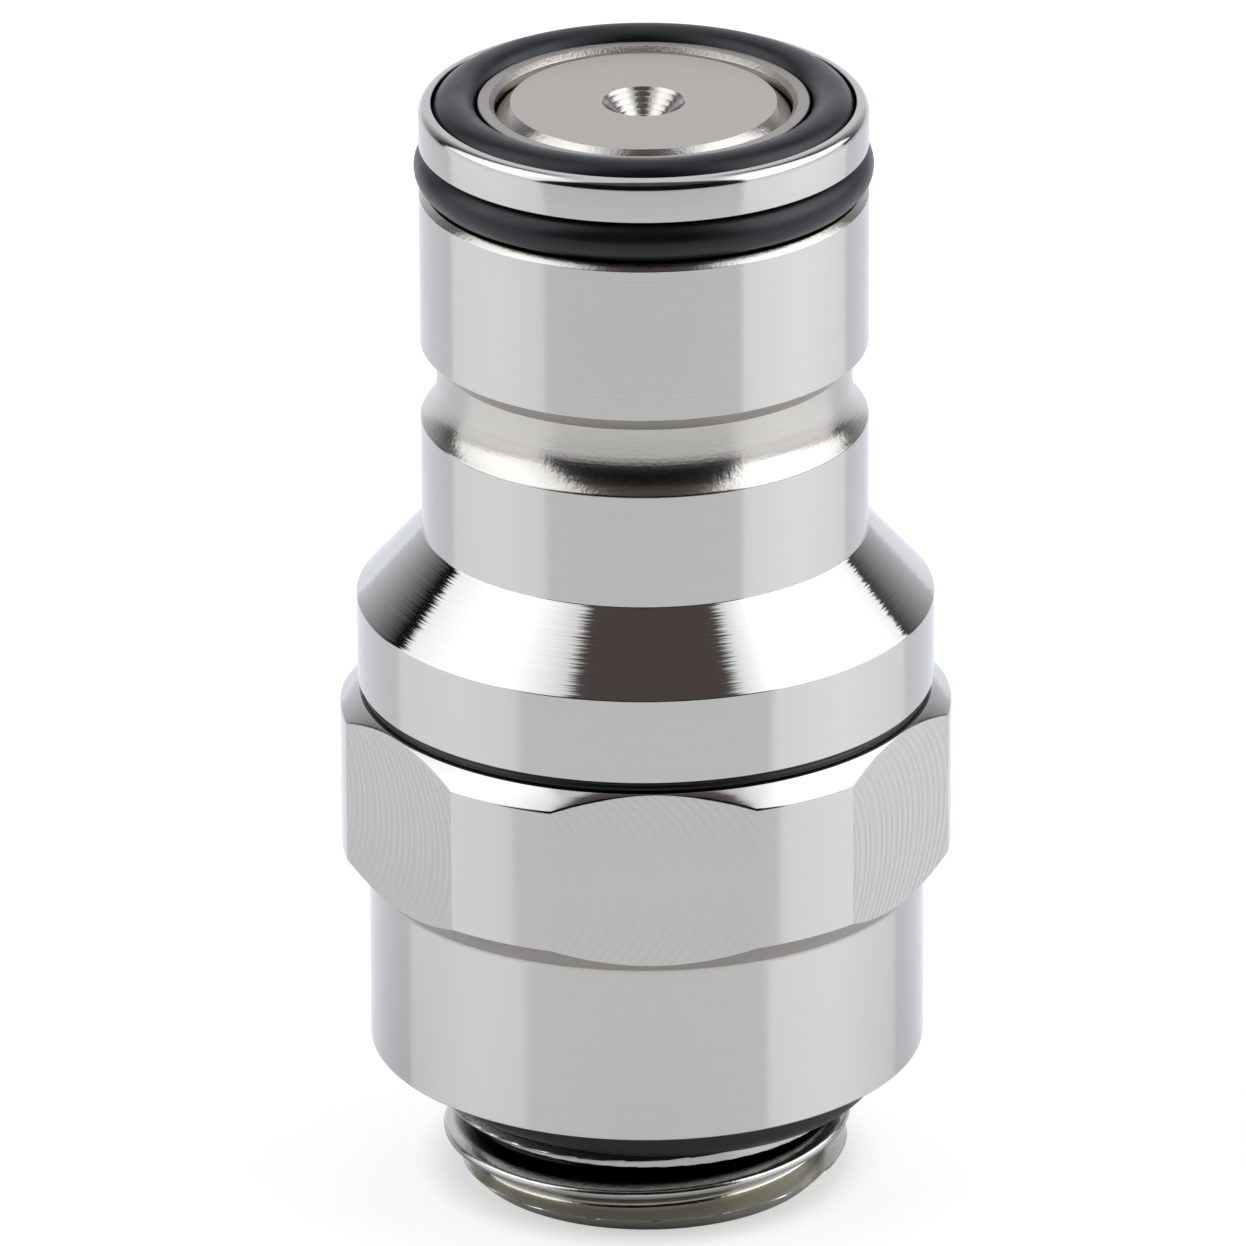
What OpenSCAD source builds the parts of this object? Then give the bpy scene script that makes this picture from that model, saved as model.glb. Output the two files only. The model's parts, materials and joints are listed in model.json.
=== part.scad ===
// Dry-break quick coupling plug with a G 1/4 port: a turned two-piece housing with a
// sprung flat-face valve inside. Z is the flow axis, z = 0 is the face of the threaded
// end, and one flat of the wrench hexagon faces -Y.

/* [Threaded port] */
// Major diameter of the port thread (G 1/4)
thread_d = 13.157; // [13.05:0.001:13.25]
// Core diameter of the thread, and the diameter of the plain neck above it
thread_core_d = 11.4; // [11.3:0.02:11.5]
// Length from the end face to the end of the thread
thread_len = 2.9; // [2.7:0.05:2.95]
// Length of the plain neck between the thread and the sealing face
neck_len = 1.7; // [1.6:0.05:1.8]
// Diameter of the flow bore through the port
port_bore_d = 9; // [8.6:0.1:9.2]

/* [Adapter] */
// Diameter of the skirt below the hexagon
skirt_d = 17.81; // [17.6:0.01:18]
// Length of the skirt
skirt_len = 5.9; // [5.6:0.02:6.4]
// Diameter of the round bar that the hexagon is milled from
bar_d = 19.57; // [19.4:0.01:19.8]
// Size of the hexagon across its flats
hex_af = 18.45; // [18.2:0.05:18.8]
// Length of the hexagon with both of its chamfers
hex_len = 6.22; // [6:0.02:6.8]
// Diameter of the adapter's top face
hex_top_d = 18.4; // [18.3:0.02:18.44]

/* [Plug body] */
// Thickness of the gasket between the adapter and the plug body
gasket_t = 0.37; // [0.3:0.01:0.6]
// Outer diameter of that gasket
gasket_d = 18.24; // [18:0.02:18.3]
// Diameter of the band above the gasket
band_d = 18.44; // [18.3:0.02:18.6]
// Length of the band
band_len = 2.8; // [2.4:0.01:3.2]
// Length of the cone between the band and the barrel
cone_len = 2.33; // [2.1:0.01:2.8]
// Diameter of the barrel that the socket slides over
barrel_d = 14.24; // [14.1:0.01:14.4]
// Length of the barrel below the locking groove
barrel_low_len = 3.75; // [3.4:0.01:4.2]
// Length of the barrel above the locking groove
barrel_top_len = 5.18; // [4.9:0.01:5.6]
// Outside length of the locking groove
lock_len = 2.59; // [2.4:0.01:3]
// Diameter of the locking groove's floor
lock_floor_d = 13.2; // [13:0.05:13.4]
// Length of the rim above the barrel seal
rim_len = 1.39; // [1.3:0.01:1.6]

/* [Seals] */
// Cord diameter of the seal round the barrel
barrel_seal_cord = 1.4; // [1.34:0.02:1.5]
// How far the barrel seal stands proud of the barrel
barrel_seal_proud = 0.15; // [0.1:0.01:0.2]
// Cord diameter of the seal in the nose face
face_seal_cord = 1.42; // [1.38:0.01:1.44]
// Ring diameter of the nose face seal, at the middle of its cord
face_seal_ring_d = 11.96; // [11.94:0.01:11.98]
// Cord diameter of the port seal
port_seal_cord = 2; // [1.9:0.02:2]
// Lean of the port seal as it hangs loose on the neck, in degrees
port_seal_tilt = 1.9; // [0:0.1:1.9]
// Cord diameter of the valve seal
valve_seal_cord = 0.91; // [0.88:0.01:0.92]

/* [Valve] */
// Bore of the nose, which the valve head closes
nose_bore_d = 9.44; // [9.42:0.01:9.5]
// Gap between the valve head and the nose bore
head_gap = 0.07; // [0.05:0.01:0.12]
// Bore of the valve chamber
chamber_d = 11.4; // [11.3:0.02:11.5]
// Diameter of the valve stem
stem_d = 3; // [2.6:0.1:3.2]
// Radial gap between the stem and its guide
stem_gap = 0.04; // [0.02:0.01:0.08]
// Wire diameter of the valve spring
wire_d = 0.9; // [0.7:0.05:1]
// Diameter of the valve spring, at the middle of its wire
spring_d = 7.7; // [7.6:0.05:8]
// Working turns of the valve spring
spring_turns = 7; // [6:1:8]

/* [Hidden] */
$fn = 120;

NICKEL = [0.78, 0.77, 0.76];
RUBBER = [0.09, 0.09, 0.1];
BRASS = [0.75, 0.66, 0.42];
STEEL = [0.66, 0.67, 0.69];

// Edge breaks, chamfers and the corners that the tool's nose leaves
edge = 0.05;
thread_runout = 0.2;
mouth_chamfer = 0.4;
spigot_chamfer = 0.4;
skirt_fillet_r = 0.25;
lock_fillet_r = 0.9;
barrel_edge = 0.19;
head_chamfer = 0.44;
lip_bevel = 0.23;
stem_chamfer = 0.3;

// Radii
thread_r = thread_d / 2;
core_r = thread_core_d / 2;
port_bore_r = port_bore_d / 2;
skirt_r = skirt_d / 2;
bar_r = bar_d / 2;
hex_top_r = hex_top_d / 2;
band_r = band_d / 2;
barrel_r = barrel_d / 2;
lock_floor_r = lock_floor_d / 2;
nose_bore_r = nose_bore_d / 2;
chamber_r = chamber_d / 2;
stem_r = stem_d / 2;
spring_r = spring_d / 2;
seal_recess_r = 7.8;
seal_recess_depth = 0.77;
joint_r = 7.5;
joint_gap = 0.02;
joint_relief_r = 7.65;
spigot_relief_r = 7;
barrel_seal_r = barrel_r + barrel_seal_proud - barrel_seal_cord / 2;
seal_floor_r = barrel_r + barrel_seal_proud - barrel_seal_cord;
face_seal_r = face_seal_ring_d / 2;
face_groove_side = 0.02;
face_groove_in = face_seal_r - face_seal_cord / 2 - face_groove_side;
face_groove_out = face_seal_r + face_seal_cord / 2 + face_groove_side;
rim_land = 0.01;
rim_round = min(0.35, barrel_r - face_groove_out - edge - rim_land);

// Levels along the axis, from the threaded end up
z_seat = thread_len + neck_len;
z_recess = z_seat + seal_recess_depth;
z_skirt = z_seat + skirt_len;
z_hex = z_skirt + hex_len;
z_band = z_hex + gasket_t;
z_cone = z_band + band_len;
z_barrel = z_cone + cone_len;
z_lock = z_barrel + barrel_low_len;
z_barrel_top = z_lock + lock_len;
z_seal = z_barrel_top + barrel_top_len;
barrel_seal_play = 0.04;
z_rim = z_seal + barrel_seal_cord + barrel_seal_play;
z_nose = z_rim + rim_len;
face_groove_depth = 1.1;
z_face_floor = z_nose - face_groove_depth;

// The valve chamber and what fills it
guide_t = 1.2;
z_guide = 11.1;
z_guide_top = z_guide + guide_t;
nose_bore_len = 3.22;
z_valve_seat = z_nose - nose_bore_len;
seat_gap = 0.05;
head_r = nose_bore_r - head_gap;
head_set_back = 0.02;
z_head = z_nose - head_set_back;
flange_r = 5.05;
flange_t = 0.75;
z_flange = z_valve_seat + nose_bore_r - seat_gap * sqrt(2) - flange_r;
z_flange_back = z_flange - flange_t;
gland_w = 1.2;
gland_rise = 0.8;
z_gland = z_valve_seat + gland_rise;
valve_seal_gap = 0.03;
gland_floor_r = nose_bore_r - valve_seal_gap - valve_seal_cord;
valve_seal_r = gland_floor_r + valve_seal_cord / 2;
boss_r = 3.25;
boss_len = 1.6;
stem_flare = 0.6;
spring_play = 0.03;
z_stem_end = 10.2;
dimple_r = 1.32;
dimple_depth = 1.02;
pilot_r = 0.3;
pilot_depth = 0.5;

// Points along an arc about c, from angle a0 to a1, in n steps
function arc(c, r, a0, a1, n) =
    [for (i = [0:n]) let (a = a0 + (a1 - a0) * i / n) c + r * [cos(a), sin(a)]];

module ring(ring_r, cord) {
    rotate_extrude() translate([ring_r, 0]) circle(d = cord);
}

// The threaded end, the skirt and the wrench hexagon, turned from one bar
module port_adapter() {
    end_chamfer = thread_r - core_r;
    low_chamfer = bar_r - skirt_r;
    top_chamfer = bar_r - hex_top_r;
    port_side = [
        [core_r, 0], [thread_r, end_chamfer],
        [thread_r, thread_len - thread_runout], [thread_r - thread_runout, thread_len],
        [core_r, thread_len], [core_r, z_recess], [seal_recess_r, z_recess],
        [seal_recess_r, z_seat]];
    skirt_side = concat(
        [[skirt_r - edge, z_seat], [skirt_r, z_seat + edge]],
        arc([skirt_r + skirt_fillet_r, z_skirt - skirt_fillet_r * tan(22.5)], skirt_fillet_r,
            180, 135, 4));
    hex_side = [
        [bar_r, z_skirt + low_chamfer], [bar_r, z_hex - top_chamfer], [hex_top_r, z_hex]];
    joint_side = [
        [joint_r + mouth_chamfer, z_hex], [joint_r, z_hex - mouth_chamfer],
        [joint_r, z_guide_top], [joint_relief_r, z_guide_top], [joint_relief_r, z_guide]];
    bore_side = [
        [chamber_r, z_guide], [port_bore_r, z_guide - (chamber_r - port_bore_r)],
        [port_bore_r, mouth_chamfer], [port_bore_r + mouth_chamfer, 0]];
    color(NICKEL) intersection() {
        rotate_extrude()
            polygon(concat(port_side, skirt_side, hex_side, joint_side, bore_side));
        cylinder(r = hex_af / 2 / cos(30), h = z_hex, $fn = 6);
    }
}

// Rubber seal on the neck: it leans, with its low side on the end of the thread
module port_seal() {
    ring_r = core_r + port_seal_cord / 2;
    low_side = ring_r * sin(port_seal_tilt);
    color(RUBBER) translate([0, 0, thread_len + edge / 2 + port_seal_cord / 2 + low_side])
        rotate([0, port_seal_tilt, 0]) ring(ring_r, port_seal_cord);
}

module joint_gasket() {
    bulge = gasket_t / 4;
    outer = gasket_d / 2;
    color(RUBBER) rotate_extrude() polygon([
        [joint_r + mouth_chamfer + edge, z_hex], [outer - bulge, z_hex],
        [outer, z_hex + bulge], [outer, z_band - bulge], [outer - bulge, z_band],
        [joint_r + mouth_chamfer + edge, z_band]]);
}

// Nose, barrel with the locking groove, cone, band and the spigot of the inner joint
module plug_body() {
    spigot_r = joint_r - joint_gap;
    relief_drop = 0.8;
    relief_z = z_band - relief_drop;
    relief_rise = 0.3;
    flank_z = z_lock + barrel_r - lock_floor_r;
    fillet_z = flank_z + lock_fillet_r * (sqrt(2) - 1);
    seat_cone = chamber_r - nose_bore_r;
    spigot_side = [
        [chamber_r, z_guide_top], [spigot_r - spigot_chamfer, z_guide_top],
        [spigot_r, z_guide_top + spigot_chamfer], [spigot_r, relief_z],
        [spigot_relief_r, relief_z + relief_rise], [spigot_relief_r, z_band]];
    band_side = [
        [band_r - edge, z_band], [band_r, z_band + edge], [band_r, z_cone],
        [barrel_r, z_barrel], [barrel_r, z_lock]];
    lock_side = concat(
        arc([lock_floor_r + lock_fillet_r, fillet_z], lock_fillet_r, 225, 180, 6),
        [[lock_floor_r, z_barrel_top - (barrel_r - lock_floor_r)], [barrel_r, z_barrel_top]]);
    seal_side = [
        [barrel_r, z_seal - barrel_edge], [barrel_r - barrel_edge, z_seal],
        [seal_floor_r, z_seal], [seal_floor_r, z_rim],
        [barrel_r - edge, z_rim], [barrel_r, z_rim + edge]];
    nose_side = concat(
        arc([barrel_r - rim_round, z_nose - rim_round], rim_round, 0, 90, 6),
        [[face_groove_out + edge, z_nose], [face_groove_out, z_nose - edge],
         [face_groove_out, z_face_floor], [face_groove_in, z_face_floor],
         [face_groove_in, z_nose - edge], [face_groove_in - edge, z_nose]]);
    bore_side = [
        [nose_bore_r + lip_bevel, z_nose], [nose_bore_r, z_nose - lip_bevel],
        [nose_bore_r, z_valve_seat], [chamber_r, z_valve_seat - seat_cone]];
    color(NICKEL) rotate_extrude()
        polygon(concat(spigot_side, band_side, lock_side, seal_side, nose_side, bore_side));
}

module barrel_seal() {
    color(RUBBER) translate([0, 0, (z_seal + z_rim) / 2]) ring(barrel_seal_r, barrel_seal_cord);
}

module face_seal() {
    color(RUBBER) translate([0, 0, z_face_floor + face_seal_cord / 2])
        ring(face_seal_r, face_seal_cord);
}

// Valve head with its seal gland and seating flange, the spring boss and the stem
module valve_poppet() {
    seat_line = flange_r + z_flange;
    head_side = [
        [head_r, seat_line - head_r], [head_r, z_gland],
        [gland_floor_r, z_gland], [gland_floor_r, z_gland + gland_w],
        [head_r, z_gland + gland_w], [head_r, z_head - head_chamfer],
        [head_r - head_chamfer, z_head]];
    dimple_side = [
        [dimple_r, z_head], [pilot_r, z_head - dimple_depth],
        [pilot_r, z_head - dimple_depth - pilot_depth],
        [0, z_head - dimple_depth - pilot_depth - pilot_r / 2]];
    boss_z = z_flange_back - boss_len;
    stem_side = [
        [0, z_stem_end], [stem_r - stem_chamfer, z_stem_end],
        [stem_r, z_stem_end + stem_chamfer], [stem_r, boss_z - stem_flare],
        [stem_r + stem_flare, boss_z], [boss_r - stem_chamfer, boss_z],
        [boss_r, boss_z + stem_chamfer], [boss_r, z_flange_back],
        [flange_r - 2 * edge, z_flange_back], [flange_r, z_flange_back + 2 * edge],
        [flange_r, z_flange]];
    color(NICKEL) rotate_extrude() polygon(concat(stem_side, head_side, dimple_side));
}

module valve_seal() {
    color(RUBBER) translate([0, 0, z_gland + gland_w / 2]) ring(valve_seal_r, valve_seal_cord);
}

// Compression spring: one wound wire, with a closed turn at each end
module valve_spring() {
    sides = 8;
    steps = 20;
    low = z_guide_top + wire_d / 2;
    high = z_flange_back - spring_play - wire_d / 2;
    end_rise = 1.06 * wire_d;
    pitch = (high - low - 2 * end_rise) / spring_turns;
    count = (spring_turns + 2) * steps;
    function height(t) =
        t < 1 ? low + end_rise * t :
        t < spring_turns + 1 ? low + end_rise + pitch * (t - 1) :
        high - end_rise * (spring_turns + 2 - t);
    points = [for (i = [0:count], j = [0:sides - 1])
        let (turn = i / steps, a = 360 * turn, b = 360 * (j + 0.5) / sides,
             r = spring_r + wire_d / 2 * cos(b))
        [r * cos(a), r * sin(a), height(turn) + wire_d / 2 * sin(b)]];
    tube = [for (i = [0:count - 1], j = [0:sides - 1])
        let (k = (j + 1) % sides)
        [i * sides + j, i * sides + k, (i + 1) * sides + k, (i + 1) * sides + j]];
    caps = [[for (j = [sides - 1:-1:0]) j], [for (j = [0:sides - 1]) count * sides + j]];
    color(STEEL) polyhedron(points, concat(tube, caps), convexity = 10);
}

// Spider clamped between the housing halves: it guides the stem and carries the spring
module stem_guide() {
    legs = 4;
    leg_w = 1.6;
    rim_r = 7.4;
    hub_r = 2.4;
    hub_rise = 3;
    hub_chamfer = 0.4;
    bite = 0.5;
    hub_top = z_guide_top + hub_rise;
    color(BRASS) difference() {
        union() {
            translate([0, 0, z_guide]) difference() {
                cylinder(r = rim_r, h = guide_t);
                translate([0, 0, -1]) cylinder(r = chamber_r, h = guide_t + 2);
            }
            for (i = [0:legs - 1]) rotate([0, 0, 45 + 360 * i / legs])
                translate([hub_r - bite, -leg_w / 2, z_guide])
                    cube([chamber_r - hub_r + 2 * bite, leg_w, guide_t]);
            rotate_extrude() polygon([
                [0, z_guide], [hub_r, z_guide], [hub_r, hub_top - hub_chamfer],
                [hub_r - hub_chamfer, hub_top], [0, hub_top]]);
        }
        translate([0, 0, z_guide - 1]) cylinder(r = stem_r + stem_gap, h = hub_top - z_guide + 2);
    }
}

port_adapter();
port_seal();
joint_gasket();
plug_body();
barrel_seal();
face_seal();
valve_poppet();
valve_seal();
valve_spring();
stem_guide();
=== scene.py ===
import json
import math
from functools import partial

import bmesh
import bpy
from bpy.props import FloatProperty, FloatVectorProperty, IntProperty, PointerProperty
from mathutils import Matrix, Vector


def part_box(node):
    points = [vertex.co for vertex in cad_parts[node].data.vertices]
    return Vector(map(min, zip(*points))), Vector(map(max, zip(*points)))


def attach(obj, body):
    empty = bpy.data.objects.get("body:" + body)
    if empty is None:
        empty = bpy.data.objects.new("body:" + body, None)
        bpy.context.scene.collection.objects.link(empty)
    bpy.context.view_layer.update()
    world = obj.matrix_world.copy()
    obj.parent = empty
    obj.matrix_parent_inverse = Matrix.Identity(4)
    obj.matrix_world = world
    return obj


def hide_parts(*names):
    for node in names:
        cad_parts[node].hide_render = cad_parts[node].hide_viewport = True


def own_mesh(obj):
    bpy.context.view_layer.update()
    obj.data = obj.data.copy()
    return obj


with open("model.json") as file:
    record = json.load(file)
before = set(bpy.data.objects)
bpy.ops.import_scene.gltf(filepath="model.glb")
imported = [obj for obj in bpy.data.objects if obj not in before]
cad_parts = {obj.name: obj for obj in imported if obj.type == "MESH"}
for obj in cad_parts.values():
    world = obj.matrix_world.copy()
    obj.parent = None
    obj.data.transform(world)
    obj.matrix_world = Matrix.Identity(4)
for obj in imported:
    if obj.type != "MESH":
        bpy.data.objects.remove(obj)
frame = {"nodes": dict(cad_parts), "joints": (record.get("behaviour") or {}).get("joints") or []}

bl_info = {
    "name": "Quick Coupling Plug",
    "version": (1, 0, 0),
    "blender": (4, 5, 0),
    "location": "View3D > Sidebar > Coupling",
    "description": "Nickel plated dry-break coupling plug with its seals, sprung valve and studio",
    "category": "Add Mesh",
}

MM = 0.001

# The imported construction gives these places, in metres
_, ADAPTER_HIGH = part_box("port_adapter")
GASKET_LOW, GASKET_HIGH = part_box("joint_gasket")
BODY_LOW, BODY_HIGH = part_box("plug_body")
BARREL_SEAL_LOW, BARREL_SEAL_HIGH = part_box("barrel_seal")
FACE_SEAL_LOW, FACE_SEAL_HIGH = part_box("face_seal")
PORT_SEAL_LOW, PORT_SEAL_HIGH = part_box("port_seal")
VALVE_LOW, VALVE_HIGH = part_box("valve_poppet")
SPRING_LOW, SPRING_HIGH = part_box("valve_spring")
SLIDE = next(joint for joint in frame["joints"] if joint["name"] == "valve_slide")


def linear(code):
    """Linear colour of an sRGB hex code."""
    values = [int(code[i:i + 2], 16) / 255 for i in (0, 2, 4)]
    return tuple(v / 12.92 if v <= 0.04045 else ((v + 0.055) / 1.055) ** 2.4 for v in values)


def length(name, description, mm):
    """A length that is kept in metres and given here in millimetres."""
    return FloatProperty(name=name, description=description, default=mm * MM, unit="LENGTH",
                         subtype="DISTANCE", precision=5)


def angle(name, description, degrees):
    """An angle that is kept in radians and given here in degrees."""
    return FloatProperty(name=name, description=description, default=math.radians(degrees),
                         unit="ROTATION", subtype="ANGLE")


def colour(name, description, code):
    """A colour that is kept linear and given here as an sRGB hex code."""
    return FloatVectorProperty(name=name, description=description, default=linear(code),
                               size=3, subtype="COLOR", min=0, max=1)


class AdapterSizes(bpy.types.PropertyGroup):
    """Turned outline of the threaded adapter."""

    thread_radius: length("Thread radius", "Major radius of the port thread", 6.5785)
    thread_pitch: length("Thread pitch", "Rise of the port thread in one turn", 1.337)
    thread_depth: length("Thread depth", "Depth from crest to root", 0.856)
    thread_round: length("Thread rounding", "Radius of the crests and roots", 0.184)
    thread_flank: angle("Flank angle", "Angle between a flank and the radius", 27.5)
    thread_phase: length("Thread phase", "Height of a crest on the +X side", 0.595)
    thread_end: length("Thread end", "Height at which the thread stops", 2.9)
    thread_runout: length("Thread runout", "Chamfer at the thread's upper end", 0.2)
    collar_height: length("Collar height", "Foot of the collar that the thread runs into", 2.5)
    collar_radius: length("Collar radius", "Radius of that collar", 6.36)
    core_radius: length("Core radius", "Radius of the neck and of the thread's start", 5.7)
    seat_height: length("Seat height", "Height of the port sealing face", 4.6)
    recess_height: length("Recess height", "Height of the seal recess floor", 5.37)
    recess_radius: length("Recess radius", "Outer radius of the seal recess", 7.8)
    skirt_radius: length("Skirt radius", "Radius of the skirt under the hexagon", 8.905)
    skirt_height: length("Skirt height", "Height at which the hexagon starts", 10.5)
    skirt_fillet: length("Skirt fillet", "Fillet between the skirt and the hexagon", 0.25)
    top_radius: length("Top radius", "Radius of the top face", 9.2)
    joint_radius: length("Joint radius", "Radius of the inner joint", 7.5)
    relief_radius: length("Relief radius", "Radius behind the inner joint", 7.65)
    ledge_height: length("Ledge height", "Height of the ledge that carries the guide", 11.1)
    ledge_radius: length("Ledge radius", "Inner radius of that ledge", 5.7)
    bore_radius: length("Bore radius", "Radius of the flow bore", 4.5)
    mouth: length("Mouth chamfer", "Chamfer of the bore mouths", 0.4)


class BodySizes(bpy.types.PropertyGroup):
    """Turned outline of the plug body."""

    cone_height: length("Cone height", "Height at which the cone starts", 19.89)
    barrel_height: length("Barrel height", "Height at which the cone meets the barrel", 22.22)
    barrel_radius: length("Barrel radius", "Radius of the barrel", 7.12)
    lock_height: length("Groove height", "Lower end of the locking groove", 25.97)
    lock_top: length("Groove top", "Upper end of the locking groove", 28.56)
    lock_radius: length("Groove radius", "Radius of the locking groove's floor", 6.6)
    lock_fillet: length("Groove fillet", "Fillet between the groove's flank and floor", 1.6)
    lock_edge: length("Groove edge", "Rounding of the groove's lower edge", 0.12)
    seal_height: length("Seal groove height", "Lower wall of the seal groove", 33.74)
    seal_top: length("Seal groove top", "Upper wall of the seal groove", 35.18)
    seal_floor: length("Seal groove floor", "Radius of the seal groove's floor", 5.87)
    barrel_chamfer: length("Barrel chamfer", "Chamfer at the barrel's upper edge", 0.19)
    nose_height: length("Nose height", "Height of the rim's face", 36.57)
    rim_round: length("Rim rounding", "Rounding of the rim's outer edge", 0.35)
    face_outer: length("Face groove outside", "Outer radius of the face groove", 6.71)
    face_inner: length("Face groove inside", "Inner radius of the face groove", 5.25)
    face_floor: length("Face groove floor", "Height of the face groove's floor", 35.47)
    nose_bore: length("Nose bore", "Radius of the bore that the valve closes", 4.72)
    lip_bevel: length("Lip bevel", "Bevel inside the lip", 0.16)
    seat_height: length("Valve seat", "Height of the upper end of the valve's seat", 33.35)
    chamber_radius: length("Chamber radius", "Radius of the valve chamber", 5.7)
    spigot_radius: length("Spigot radius", "Radius of the spigot of the inner joint", 7.48)
    spigot_relief: length("Spigot relief", "Radius of the relief above the spigot", 7.0)
    relief_drop: length("Relief drop", "How far that relief reaches below the band", 0.8)
    relief_rise: length("Relief rise", "Height of the slope into the relief", 0.3)
    spigot_chamfer: length("Spigot chamfer", "Chamfer at the spigot's foot", 0.4)


class ValveSizes(bpy.types.PropertyGroup):
    """Turned outline of the valve poppet, and its spring."""

    head_radius: length("Head radius", "Radius of the valve head", 4.65)
    head_chamfer: length("Head chamfer", "Chamfer round the valve's face", 0.44)
    gland_height: length("Gland height", "Lower wall of the seal gland", 34.15)
    gland_width: length("Gland width", "Width of the seal gland", 1.2)
    gland_radius: length("Gland radius", "Radius of the gland's floor", 3.78)
    flange_height: length("Flange height", "Lower face of the seating flange", 32.199)
    flange_top: length("Flange top", "Upper edge of the seating flange", 32.949)
    boss_radius: length("Boss radius", "Radius of the boss inside the spring", 3.25)
    boss_height: length("Boss height", "Lower face of that boss", 30.599)
    stem_radius: length("Stem radius", "Radius of the stem", 1.5)
    stem_chamfer: length("Stem chamfer", "Chamfer of the stem's tail and of the boss", 0.3)
    stem_flare: length("Stem flare", "Flare from the stem to the boss", 0.6)
    dimple_radius: length("Dimple radius", "Radius of the centre dimple", 1.32)
    dimple_depth: length("Dimple depth", "Depth of the dimple's cone", 1.02)
    dimple_rings: IntProperty(name="Dimple rings", description="Tool marks down the dimple",
                              default=7, min=1, max=20)
    ring_depth: length("Ring depth", "Depth of each of those marks", 0.009)
    ring_round: length("Ring rounding", "Rounding at the root of each mark", 0.02)
    pilot_radius: length("Pilot radius", "Radius of the pilot hole", 0.3)
    pilot_depth: length("Pilot depth", "Depth of the pilot hole", 0.5)
    pilot_tip: length("Pilot tip", "Depth of the drill's tip below it", 0.15)
    wire: length("Wire", "Diameter of the spring's wire", 0.9)
    spring_turns: IntProperty(name="Spring turns", description="Working turns of the spring",
                              default=7, min=3, max=12)


class SealSizes(bpy.types.PropertyGroup):
    """What the frame's boxes don't say about the seals."""

    port_cord: length("Port seal cord", "Cord diameter of the port seal", 2.0)
    port_lean: angle("Port seal lean", "How far the loose port seal leans", 1.9)
    gasket_bulge: length("Gasket bulge", "How far the gasket's edge bulges", 0.1)
    gasket_gap: length("Gasket gap", "Gap between the gasket and the inner joint", 0.45)
    gasket_ribs: IntProperty(name="Gasket ribs", description="Fine ribs on the gasket's edge",
                             default=3, min=1, max=8)
    rib_depth: length("Rib depth", "Half the depth between two of those ribs", 0.012)


class FinishSettings(bpy.types.PropertyGroup):
    """Colours, tool marks and mesh fineness."""

    nickel: colour("Nickel", "Bright nickel plate", "C1BEB8")
    dull_nickel: colour("Dull nickel", "Nickel plate over a rougher cut", "BAB3A9")
    groove_nickel: colour("Groove nickel", "Nickel plate in the grooves", "BFBAB1")
    lip_nickel: colour("Lip nickel", "Thin nickel plate over the torn cut of the lip", "A69F98")
    thread_nickel: colour("Thread nickel", "Thin nickel plate at the thread's ends", "BDBAAC")
    # Painted shade: this black is painted into the upper thread roots, under the seal and the skirt
    thread_root_shade: colour("Thread root", "Black residue in the thread's roots", "1C1C1A")
    rubber: colour("Rubber", "Black nitrile rubber", "050607")
    steel: colour("Spring steel", "Stainless spring wire", "B7B8BA")
    brass: colour("Brass", "Bare brass of the stem guide", "CDB073")
    turning_pitch: length("Turning pitch", "Feed of the turning tool in one turn", 0.11)
    turning_lean: angle("Turning lean", "How far a turning mark leans the surface", 1.4)
    cutter_radius: length("Cutter radius", "Radius of the cutter that milled the flats", 3.75)
    cutter_feed: length("Cutter feed", "Distance between two marks of that cutter", 0.36)
    cutter_lean: angle("Cutter lean", "How far one of those marks leans the surface", 0.4)
    edge: length("Edge break", "Rounding of the broken edges", 0.05)
    facets: IntProperty(name="Facets", description="Facets in each sixth of a turn",
                        default=40, min=12, max=64)


class StudioSettings(bpy.types.PropertyGroup):
    """Camera, floor, light panels and dark cards."""

    camera_turn: angle("Camera turn", "Turn of the camera round the part", -1.35)
    camera_drop: angle("Camera drop", "How far the camera looks down", 22.776)
    camera_roll: angle("Camera roll", "Roll of the camera", -0.248)
    camera_side: length("Camera side", "Sideways place of the camera", -0.72)
    camera_distance: length("Camera distance", "Level distance of the camera", 476.77)
    camera_height: length("Camera height", "Height of the camera", 218.89)
    lens: FloatProperty(name="Lens", description="Focal length on a 36 mm sensor",
                        default=467.7, unit="CAMERA")
    panel_distance: length("Panel distance", "Distance of the light panels", 600)
    panel_foot: length("Panel foot", "Height of the panels' lower edge", 150)
    panel_top: length("Panel top", "Height of the panels' upper edge", 1280)
    panel_front: angle("Panel front", "Front edge of the panels, from the camera", 38)
    left_rear: angle("Left panel rear", "Rear edge of the left panel, from the camera", 115.5)
    right_rear: angle("Right panel rear", "Rear edge of the right panel, from the camera", 126)
    left_strength: FloatProperty(name="Left panel", description="Strength of the left panel",
                                 default=2.35, min=0)
    right_strength: FloatProperty(name="Right panel", description="Strength of the right panel",
                                  default=3.2, min=0)
    card_distance: length("Front card distance", "Distance of the dark card round the lens", 540)
    card: colour("Front card", "Dark brown upper part of that card", "6D625F")
    back_card_distance: length("Back card distance", "Distance of the two black cards", 950)
    light: colour("Light", "Slightly cool daylight of the studio", "F3F7FF")
    room: FloatProperty(name="Room", description="Strength of the white room's light",
                        default=1.07, min=0)
    floor: colour("Floor", "Pale floor", "DEDEDE")
    floor_reach: length("Floor reach", "Distance from the part to the floor's edges", 4000)
    # Painted glow of the sheet, seen only in the metal; no lamp stands below it
    painted_floor_glow: FloatProperty(name="Floor glow", description="Light from below the sheet",
                              default=0.39, min=0)


# ---------------------------------------------------------------- turned shapes

# Largest turn between two facets of a rounding
FILLET_STEP = math.radians(11.25)
# Share of a sixth's facets that lie on its flat
FLAT_SHARE = 0.65
# Edges that turn more than this stay sharp
SHARP_ANGLE = math.radians(15)
# Height over radius of the collar's sloped foot
COLLAR_SLOPE = 3
# Where the root of a mark in the dimple lies, between two crests
MARK_ROOT = 0.65
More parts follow.
